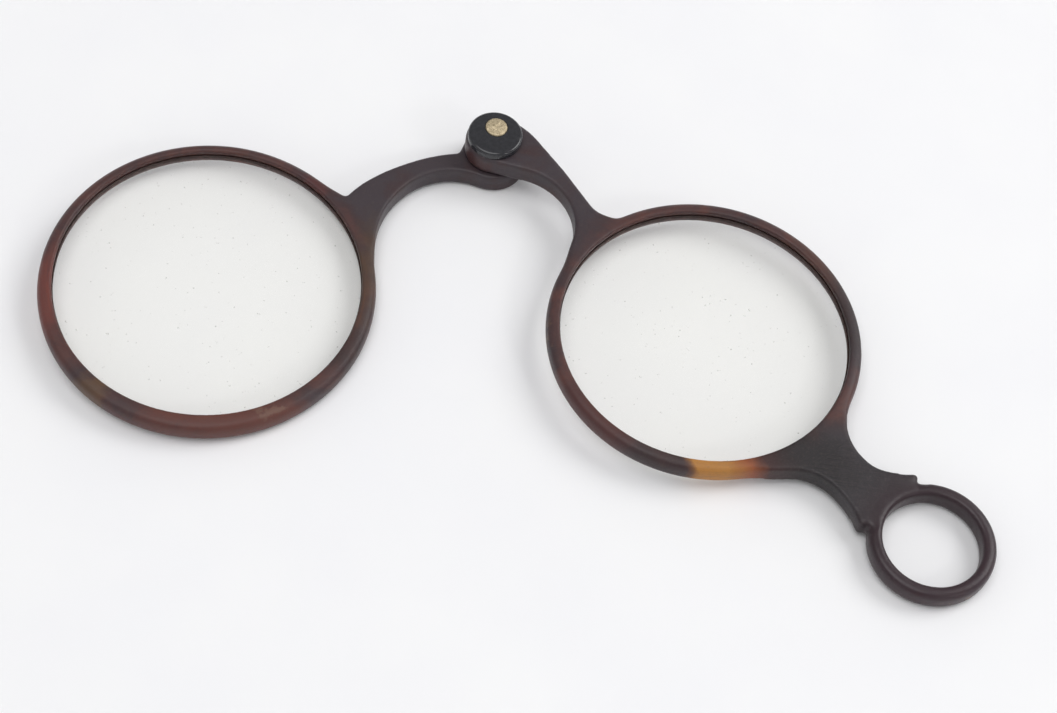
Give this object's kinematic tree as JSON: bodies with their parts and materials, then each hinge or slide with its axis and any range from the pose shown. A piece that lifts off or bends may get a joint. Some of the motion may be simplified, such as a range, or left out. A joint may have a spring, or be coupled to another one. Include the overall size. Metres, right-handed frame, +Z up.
{
  "type": "folding lorgnette",
  "caption": "Horn eyeglasses without side arms: round rims on curved arms that fold at a riveted pivot, with a short flared handle and a finger ring.",
  "frame": {"origin": "on the pivot axis, in the plane of the left frame's underside, on which it rests", "axes": "+X from the left lens to the right lens, along the line through both lens centres; +Y from the lenses towards the pivot; +Z up the rivet, from the left frame's underside to the boss"},
  "size_m": [0.1174, 0.062, 0.0069],
  "materials": {
    "brown_horn": "dark reddish-brown horn, rubbed to a dull sheen",
    "dark_horn": "brown-black horn, rubbed to a dull sheen",
    "polished_horn": "black horn, polished",
    "lens_glass": "clear, ground and polished",
    "rivet_metal": "pale white metal, hammered"
  },
  "bodies": {
    "handle_side": {"right_frame": "dark_horn", "right_lens": "lens_glass", "pivot_boss": "polished_horn", "pivot_rivet": "rivet_metal", "rivet_burr": "rivet_metal"},
    "folding_side": {"left_frame": "brown_horn", "left_lens": "lens_glass"}
  },
  "joints": [
    {"name": "fold", "type": "hinge", "parent": "handle_side", "child": "folding_side", "pos_m": [0, 0, 0], "axis": [0, 0, 1], "range_deg": [-20, 98.9]}
  ]
}
